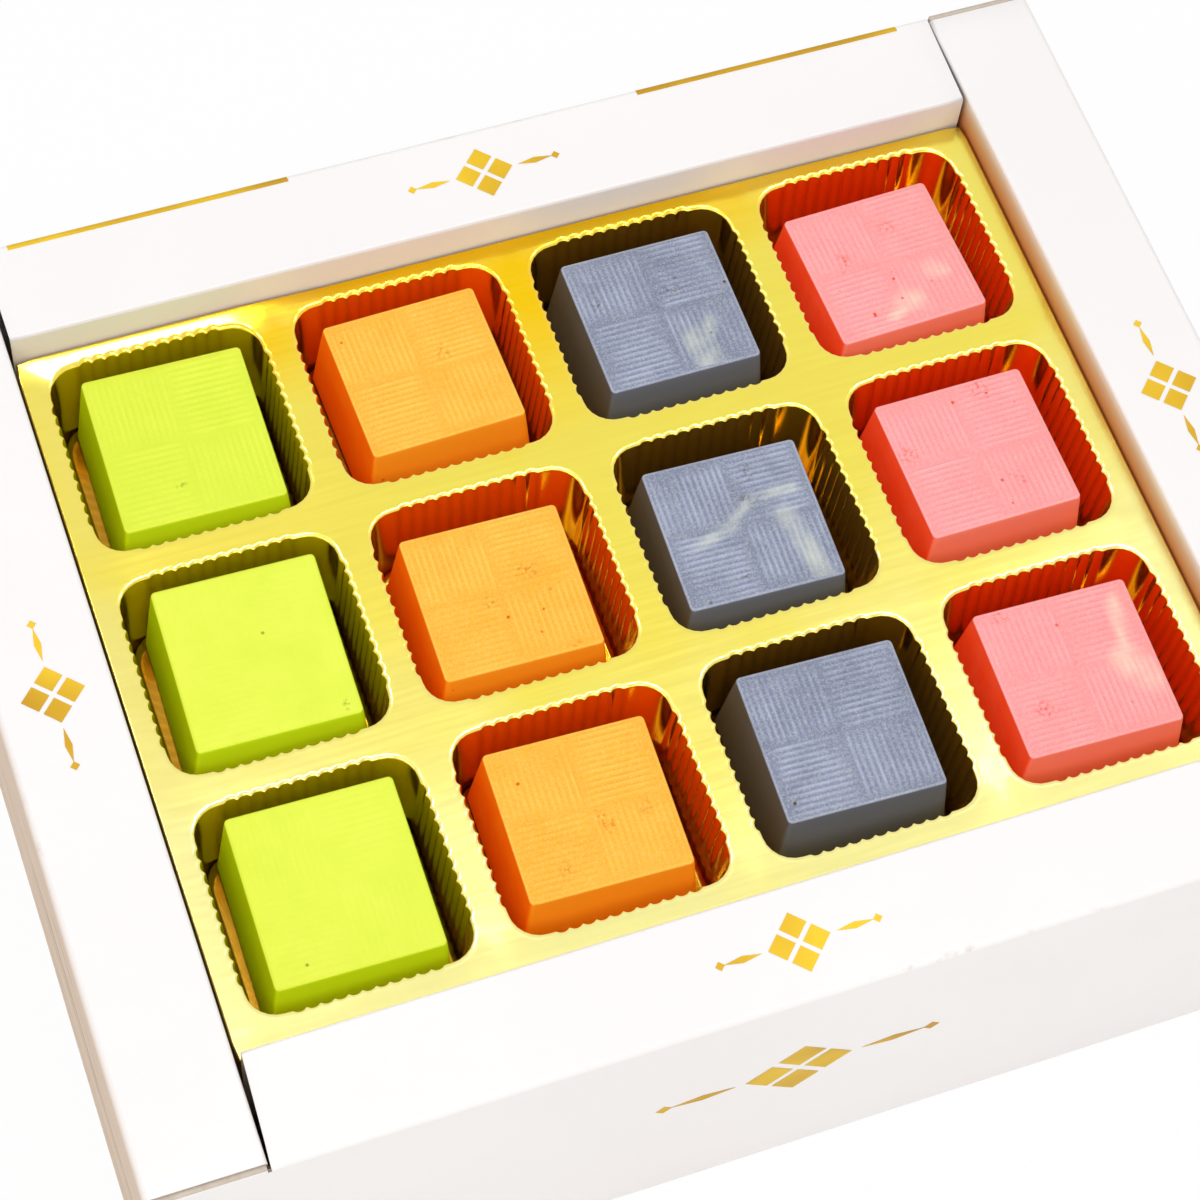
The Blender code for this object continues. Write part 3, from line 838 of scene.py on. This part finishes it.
def cup_cell(bm, deep, crease_shade, row, column):
    """One cup with its share of the land, ring by ring from the cell's border to the cup's floor."""
    low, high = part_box(cup_node(row, column))
    middle = Vector(((low.x + high.x) / 2, (low.y + high.y) / 2))
    right, back, left, front = extents = cell_extents(row, column, middle)
    border = []
    for point in cell_ring(extents):
        place = middle + point
        if abs(place.x) > EDGE_HALF.x - EDGE_CORNER and abs(place.y) > EDGE_HALF.y - EDGE_CORNER:
            place = rounded(place)[0]
        border.append(bm.verts.new((*place, TRAY_TOP + land_warp(*place))))
    rings = [border]
    for number, (offset, height, bulge, depth) in enumerate(cup_levels()):
        fade = max(0.0, 1 + height / CUP_WARP_DEPTH)
        kept = RING_GAP * (number + 1)
        points = cup_ring(CUP_HALF + offset, CUP_CORNER_RADIUS + max(0.0, offset), FLUTE_DEPTH * bulge)
        ring = []
        for point, share in zip(points, RING_SHARES):
            x = within(point.x, kept - left, right - kept)
            y = within(point.y, kept - front, back - kept)
            place = middle + Vector((x, y))
            lift = land_warp(*place) * fade
            vert = bm.verts.new((*place, TRAY_TOP + height + lift))
            vert[deep] = depth
            # Painted shade between the flutes: 1 in the creases, 0 at a flute's middle
            vert[crease_shade] = 1 - share
            ring.append(vert)
        rings.append(ring)
    for outer, inner in zip(rings, rings[1:]):
        join_rings(bm, outer, inner)
    bm.faces.new(rings[-1])


def skirt_levels():
    """(offset outwards, height) of each ring of the skirt, round the edge and down."""
    levels = []
    for angle in SKIRT_EDGE_ANGLES:
        turn = math.radians(angle)
        levels.append((TRAY_EDGE_RADIUS * math.sin(turn), -TRAY_EDGE_RADIUS * (1 - math.cos(turn))))
    for share in SKIRT_SHARES:
        levels.append((TRAY_EDGE_RADIUS + SKIRT_FLARE * share, (TRAY_FOOT - TRAY_TOP) * share))
    return levels


def open_ring(bm):
    """The points of the land's open edge, in order round it."""
    bm.verts.index_update()
    ring = [next(vert for vert in bm.verts if vert.is_boundary)]
    while True:
        open_edges = [edge for edge in ring[-1].link_edges if edge.is_boundary]
        beside = {edge.other_vert(ring[-1]) for edge in open_edges} - set(ring[-2:]) - {ring[0]}
        if not beside:
            return ring
        ring.append(min(beside, key=lambda vert: vert.index))


def fold_down(bm):
    """Adds the skirt below the land's open edge, ring by ring."""
    ring = open_ring(bm)
    starts = [vert.co.copy() for vert in ring]
    for offset, height in skirt_levels():
        fade = max(0.0, 1 + height / SKIRT_WARP_DEPTH)
        lower = []
        for start in starts:
            outward = rounded(start.xy)[1]
            level = TRAY_TOP + (start.z - TRAY_TOP) * fade + height
            lower.append(bm.verts.new((*(start.xy + outward * offset), level)))
        join_rings(bm, ring, lower)
        ring = lower


def tray_sheet(gold):
    """The whole tray as one formed sheet: land, twelve fluted cups and skirt."""
    bm = bmesh.new()
    deep = bm.verts.layers.float.new("depth")
    crease_shade = bm.verts.layers.float.new("crease_shade")
    nodes = ["tray_land", "tray_skirt"]
    for row in range(len(ROW_NAMES)):
        for column in range(len(COLOURS)):
            cup_cell(bm, deep, crease_shade, row, column)
            nodes.append(cup_node(row, column))
    bmesh.ops.remove_doubles(bm, verts=bm.verts, dist=MERGE_DISTANCE)
    fold_down(bm)
    for vert in bm.verts:
        vert.co.x = eased(vert.co.x, TRAY_HALF_LENGTH, LEFT_MARGIN_SHIFT, FAR_MARGIN_SHIFT)
        vert.co.y = eased(vert.co.y, TRAY_HALF_WIDTH, 0.0, FAR_MARGIN_SHIFT)
    bmesh.ops.recalc_face_normals(bm, faces=bm.faces)
    tray = new_piece("tray_sheet", bm, (gold,), "tray", nodes)
    thicken(tray, SHEET, even=False)
    shade(tray, 60)
    return tray


# The chocolates

def block_ring(size_x, size_y, radius):
    """Points round a rectangle with round corners, anticlockwise from its right side."""
    points = []
    for corner in range(4):
        side_x = 1 if corner in (0, 3) else -1
        side_y = 1 if corner in (0, 1) else -1
        middle = Vector((side_x * (size_x / 2 - radius), side_y * (size_y / 2 - radius)))
        for step in range(BLOCK_CORNER_STEPS + 1):
            angle = (corner + step / BLOCK_CORNER_STEPS) * math.pi / 2
            points.append(middle + radius * Vector((math.cos(angle), math.sin(angle))))
    return points


def block_levels(tall):
    """(height, share of the taper, inset, corner radius) of each ring, from the foot to the top."""
    levels = [(height * MM, 0.0, inset * MM, radius * MM) for height, inset, radius in BLOCK_FOOT_LEVELS]
    for share in SIDE_SHARES:
        levels.append((share * tall, share, 0.0, BLOCK_CORNER_RADIUS - CORNER_NARROWING * share))
    for angle in TOP_EDGE_ANGLES:
        bend = math.radians(angle)
        inset = TOP_EDGE_RADIUS * (1 - math.cos(bend))
        height = tall - TOP_EDGE_RADIUS * (1 - math.sin(bend))
        levels.append((height, 1.0, inset, BLOCK_CORNER_RADIUS - CORNER_NARROWING - inset))
    return levels


def ridge_patch(bm, crest, low, high, height, kept, lengthways, seed):
    """A field of parallel ridges between two corners; lengthways ones run front to back. kept is
    the share of their height that wear has left."""
    across, along = (0, 1) if lengthways else (1, 0)
    count = RIDGES * RIDGE_STEPS
    grid = []
    for step in range(RIDGE_ROWS + 1):
        run = step / RIDGE_ROWS
        ends = min(1.0, 6 * min(run, 1 - run))
        line = []
        for index in range(count + 1):
            share = index / count
            place = [0.0, 0.0]
            place[across] = low[across] + share * (high[across] - low[across])
            place[along] = low[along] + run * (high[along] - low[along])
            wave = 0.5 - 0.5 * math.cos(2 * math.pi * share * RIDGES)
            number = math.floor(share * RIDGES * 0.999)
            own = 0.75 + 0.35 * noise.noise(Vector((number * 3.1, seed, 0.5)))
            worn = 0.8 + 0.7 * noise.noise(Vector((place[0] * 130, place[1] * 130, seed * 2.3)))
            rise = 1 - kept * (1 - wave * ends * own * within(worn, 0.15))
            vert = bm.verts.new((*place, height + RIDGE_HEIGHT * rise))
            vert[crest] = rise
            line.append(vert)
        grid.append(line)
    for lower, upper in zip(grid, grid[1:]):
        join_lines(bm, lower, upper)


def ridged_top(bm, crest, size_x, size_y, height, kept, seed):
    """Four fields of ridges on a top of the given size, and flat strips between and round them."""
    for side_x in (-1, 1):
        for side_y in (-1, 1):
            low_x, high_x = sorted((side_x * FIELD_SEAM, side_x * (size_x / 2 - FIELD_MARGIN)))
            low_y, high_y = sorted((side_y * FIELD_SEAM, side_y * (size_y / 2 - FIELD_MARGIN)))
            lengthways = side_x != side_y
            own_seed = seed * 5 + side_x + 2 * side_y
            ridge_patch(bm, crest, (low_x, low_y), (high_x, high_y), height, kept, lengthways, own_seed)
    open_edges = [edge for edge in bm.edges if edge.is_boundary]
    bmesh.ops.triangle_fill(bm, use_beauty=True, edges=open_edges, normal=(0, 0, 1))


def marked(marks, x, y):
    """How strongly a point, in mm from the cup's middle, lies in any of the marks."""
    strength = 0.0
    for from_x, from_y, to_x, to_y, width in marks:
        start, run = Vector((from_x, from_y)), Vector((to_x - from_x, to_y - from_y))
        share = within((Vector((x, y)) - start).dot(run) / run.dot(run))
        distance = (Vector((x, y)) - start - run * share).length
        strength = max(strength, 1 - (distance / (1.5 * width)) ** 2)
    return strength


def chocolate(row, column, material):
    """A moulded square: drafted sides, crisp edges, and a top of four fields of fine ridges."""
    tint = COLOURS[column]
    own = "%s_%s" % (tint, ROW_NAMES[row])
    node = "%s_chocolate_%s" % (tint, ROW_NAMES[row])
    seed = row * 7 + column * 3 + 1
    low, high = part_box(node)
    cup_low, cup_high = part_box(cup_node(row, column))
    cup_middle = (cup_low + cup_high) / 2
    middle = Vector(((low.x + high.x) / 2, (low.y + high.y) / 2, low.z))
    kept = WORN_TOPS.get(own, 1.0)
    base = high.z - low.z - RIDGE_HEIGHT
    foot_x, foot_y = (size * MM for size in FOOTS[tint])
    taper_x, taper_y = (size * MM for size in TAPERS[tint])
    bm = bmesh.new()
    crest = bm.verts.layers.float.new("crest")
    marbling = bm.verts.layers.float.new("marbling")
    flecking = bm.verts.layers.float.new("flecking")
    rings = []
    for height, share, inset, radius in block_levels(base + RIDGE_HEIGHT * (1 - kept)):
        ring = []
        size_x = foot_x - 2 * (taper_x * share + inset)
        size_y = foot_y - 2 * (taper_y * share + inset)
        for point in block_ring(size_x, size_y, radius):
            vert = bm.verts.new((*point, height))
            vert[crest] = SIDE_CREST
            ring.append(vert)
        rings.append(ring)
    for lower, upper in zip(rings, rings[1:]):
        join_rings(bm, lower, upper)
    bm.faces.new(reversed(rings[0]))
    ridged_top(bm, crest, size_x, size_y, base, kept, seed)
    for vert in bm.verts:
        vert.co += noise.noise_vector(vert.co * 55 + Vector((seed, 0, 0))) * BLOCK_WAVE
        vert.co.z = within(vert.co.z, 0.0, high.z - low.z)
    bmesh.ops.recalc_face_normals(bm, faces=bm.faces)
    turned = Matrix.Rotation(math.radians(TURNS[row][column]), 4, "Z")
    bm.transform(Matrix.Translation(middle) @ turned)
    for vert in bm.verts:
        x, y = (vert.co.xy - cup_middle.xy) / MM
        vert[marbling] = marked(MARBLING.get(own, ()), x, y)
        vert[flecking] = marked(FLECKING.get(own, ()), x, y)
    name = "%s_square_%s" % (tint, ROW_NAMES[row])
    piece = new_piece(name, bm, (material,), own, (node,))
    shade(piece, 60)
    return piece


# The prints: clusters of lozenges between two tapered rules, and bands

def flat_shape(bm, points, matrix):
    """A thin solid over a flat outline."""
    low = [bm.verts.new(matrix @ Vector((x, y, 0))) for x, y in points]
    high = [bm.verts.new(matrix @ Vector((x, y, PRINT_THICKNESS))) for x, y in points]
    bm.faces.new(reversed(low))
    bm.faces.new(high)
    join_rings(bm, low, high)


def lozenge(size, x, y):
    return [(x + size / 2, y), (x, y + size / 2), (x - size / 2, y), (x, y - size / 2)]


def ornament(name, middle, across, up, length, gold):
    """across is the way the ornament is read, up the way its top points; both lie in the board.
    Its sizes and places are in 28ths of its length."""
    across, up = Vector(across), Vector(up)
    outward = across.cross(up)
    matrix = Matrix((across, up, outward)).transposed().to_4x4()
    matrix.translation = Vector(middle)
    unit = length / 28
    bm = bmesh.new()
    small = 2.9 * unit
    for x, y in ((0, small), (0, -small), (-small, 0), (small, 0)):
        flat_shape(bm, lozenge(1.6 * small, x, y), matrix)
    for side in (-1, 1):
        inner, outer = 6.2 * unit * side, 12.6 * unit * side
        centre = (inner + outer) / 2
        rule = [(inner, 0.0), (centre, 0.6 * unit), (outer, 0.0), (centre, -0.6 * unit)]
        flat_shape(bm, rule, matrix)
        flat_shape(bm, lozenge(1.6 * unit, 13.2 * unit * side, 0.0), matrix)
    bmesh.ops.recalc_face_normals(bm, faces=bm.faces)
    return new_piece(name, bm, (gold,), "box")


def fold_band(name, start_x, end_x, gold):
    """A printed gold band from the back ledge over the outer fold."""
    bm = bmesh.new()
    radius = FOLD_RADIUS + BAND_GAP
    centre_y = BOX_HIGH.y - WALL_INSET - FOLD_RADIUS
    centre_z = BOX_HEIGHT - WALL_INSET - FOLD_RADIUS
    xs = spread(start_x, end_x, BAND_STEPS)
    turns = spread(math.pi / 2, 0, BAND_FOLD_STEPS)
    sheets = []
    for reach in (radius, radius + BAND_THICKNESS):
        profile = [(-BAND_OVERLAP, reach)]
        profile += [(reach * math.cos(turn), reach * math.sin(turn)) for turn in turns]
        sheets.append([[bm.verts.new((x, centre_y + y, centre_z + z)) for x in xs] for y, z in profile])
    inner, outer = sheets
    for lower, upper in zip(inner, inner[1:]):
        join_lines(bm, upper, lower)
    for lower, upper in zip(outer, outer[1:]):
        join_lines(bm, lower, upper)
    join_lines(bm, inner[0], outer[0])
    join_lines(bm, inner[-1], outer[-1])
    for end in (0, -1):
        join_lines(bm, [line[end] for line in inner], [line[end] for line in outer])
    bmesh.ops.recalc_face_normals(bm, faces=bm.faces)
    for vert in bm.verts:
        vert.co.z = min(vert.co.z, BOX_HEIGHT)
    band = new_piece(name, bm, (gold,), "box")
    shade(band, 40)
    return band


def prints():
    """An ornament on each ledge and on the front face, and two bands on the back fold."""
    gold = print_finish()
    top = BOX_HEIGHT - WALL_INSET + PRINT_GAP
    ledge_x = WELL_HALF_LENGTH + LEDGE_WIDTH / 2
    ledge_y = WELL_HALF_WIDTH + LEDGE_WIDTH / 2
    for name, middle, across, up in (
        ("front_ledge_print", (0, -ledge_y, top), (1, 0, 0), (0, 1, 0)),
        ("back_ledge_print", (0, ledge_y, top), (-1, 0, 0), (0, -1, 0)),
        ("left_ledge_print", (-ledge_x, 0, top), (0, -1, 0), (1, 0, 0)),
        ("right_ledge_print", (ledge_x, 0, top), (0, 1, 0), (-1, 0, 0)),
    ):
        ornament(name, middle, across, up, LEDGE_PRINT_LENGTH, gold)
    face = (0, BOX_LOW.y + WALL_INSET - PRINT_GAP, FACE_PRINT_HEIGHT)
    ornament("front_face_print", face, (1, 0, 0), (0, 0, 1), FACE_PRINT_LENGTH, gold)
    for name, (start_x, end_x) in BAND_ENDS.items():
        fold_band(name, start_x, end_x, gold)


# The stage

def camera():
    data = bpy.data.cameras.new("camera")
    data.sensor_width = SENSOR_WIDTH
    data.lens = LENS
    obj = bpy.data.objects.new("camera", data)
    bpy.context.scene.collection.objects.link(obj)
    matrix = Matrix((VIEW_RIGHT, -Vector(VIEW_DOWN), -Vector(VIEW_FORWARD))).transposed().to_4x4()
    matrix.translation = Vector(VIEWPOINT)
    obj.matrix_world = matrix
    bpy.context.scene.camera = obj


def background_rays(tree):
    """1 for the rays that see the background: the camera's, and those in metal and in glass."""
    rays = tree.nodes.new("ShaderNodeLightPath")
    total = rays.outputs["Is Camera Ray"]
    for kind in ("Is Glossy Ray", "Is Transmission Ray"):
        most = tree.nodes.new("ShaderNodeMath")
        most.operation = "MAXIMUM"
        tree.links.new(total, most.inputs[0])
        tree.links.new(rays.outputs[kind], most.inputs[1])
        total = most.outputs[0]
    return total


def floor():
    """A wide matt floor that the rays of the background see as nearly white."""
    bm = bmesh.new()
    bmesh.ops.create_grid(bm, x_segments=1, y_segments=1, size=FLOOR_HALF)
    mesh = bpy.data.meshes.new("floor")
    bm.to_mesh(mesh)
    bm.free()
    obj = bpy.data.objects.new("floor", mesh)
    bpy.context.scene.collection.objects.link(obj)
    obj.location.z = -FLOOR_DROP
    finish = Finish("floor", Base_Color=colour(0.9, 0.9, 0.9), Roughness=0.9, Specular_IOR_Level=0.0)
    seen = finish.times(background_rays(finish.tree), FLOOR_GLOW)
    glow = finish.add("Emission", {0: colour(1, 1, 1), 1: 1.0})
    mixed = finish.add("MixShader", {0: seen, 1: finish.shader.outputs[0], 2: glow.outputs[0]})
    finish.fill(finish.tree.nodes["Material Output"], {0: mixed.outputs[0]})
    mesh.materials.append(finish.material)


def world():
    """A white world that lights matt surfaces less than the rays of the background see."""
    made = bpy.data.worlds.new("studio")
    bpy.context.scene.world = made
    made.use_nodes = True
    tree = made.node_tree
    background = tree.nodes["Background"]
    background.inputs[0].default_value = colour(1.0, 1.0, 1.0)
    strength = tree.nodes.new("ShaderNodeMapRange")
    tree.links.new(background_rays(tree), strength.inputs[0])
    strength.inputs[3].default_value = WORLD_ON_MATT
    strength.inputs[4].default_value = 1.0
    tree.links.new(strength.outputs[0], background.inputs[1])


def lamp(name, direction, distance, size, watts, on_matt=True, on_gloss=True):
    """A round lamp aimed at the box, which lights matt surfaces, glossy ones or both."""
    data = bpy.data.lights.new(name, "AREA")
    data.shape = "DISK"
    data.size = size
    data.energy = watts
    obj = bpy.data.objects.new(name, data)
    bpy.context.scene.collection.objects.link(obj)
    outwards = Vector(direction).normalized()
    obj.location = Vector(LAMP_TARGET) + outwards * distance
    obj.rotation_euler = (-outwards).to_track_quat("-Z", "Y").to_euler()
    obj.visible_diffuse = on_matt
    obj.visible_glossy = on_gloss


def lamps():
    lamp("key", (-0.12, -0.50, 0.80), distance=1.6, size=0.55, watts=5.9)
    lamp("fill", (-0.60, -0.20, 0.78), distance=0.95, size=0.6, watts=1.3)
    lamp("front_fill", (-0.05, -0.90, 0.35), distance=1.2, size=0.6, watts=0.9)
    lamp("softbox", (0.28, 0.36, 0.87), distance=1.1, size=0.9, watts=1.6, on_gloss=False)
    for number, direction in enumerate(GLINTS):
        lamp("glint_%d" % number, direction, distance=1.0, size=0.14, watts=1.0, on_matt=False)


def main():
    board, core, gold = board_finish(), core_finish(), gold_finish()
    filling = fillings()
    for name, direction in WALL_DIRECTIONS.items():
        folded_wall(name, direction, board, core)
    for node in HIDDEN_BOARDS:
        frame["nodes"][node].data.materials[0] = board
    tray_sheet(gold)
    noise.seed_set(BLOCK_WAVE_SEED)
    for row in range(len(ROW_NAMES)):
        for column, tint in enumerate(COLOURS):
            chocolate(row, column, filling[tint])
    prints()
    camera()
    floor()
    world()
    lamps()
    bpy.context.scene.view_settings.view_transform = "Standard"


main()
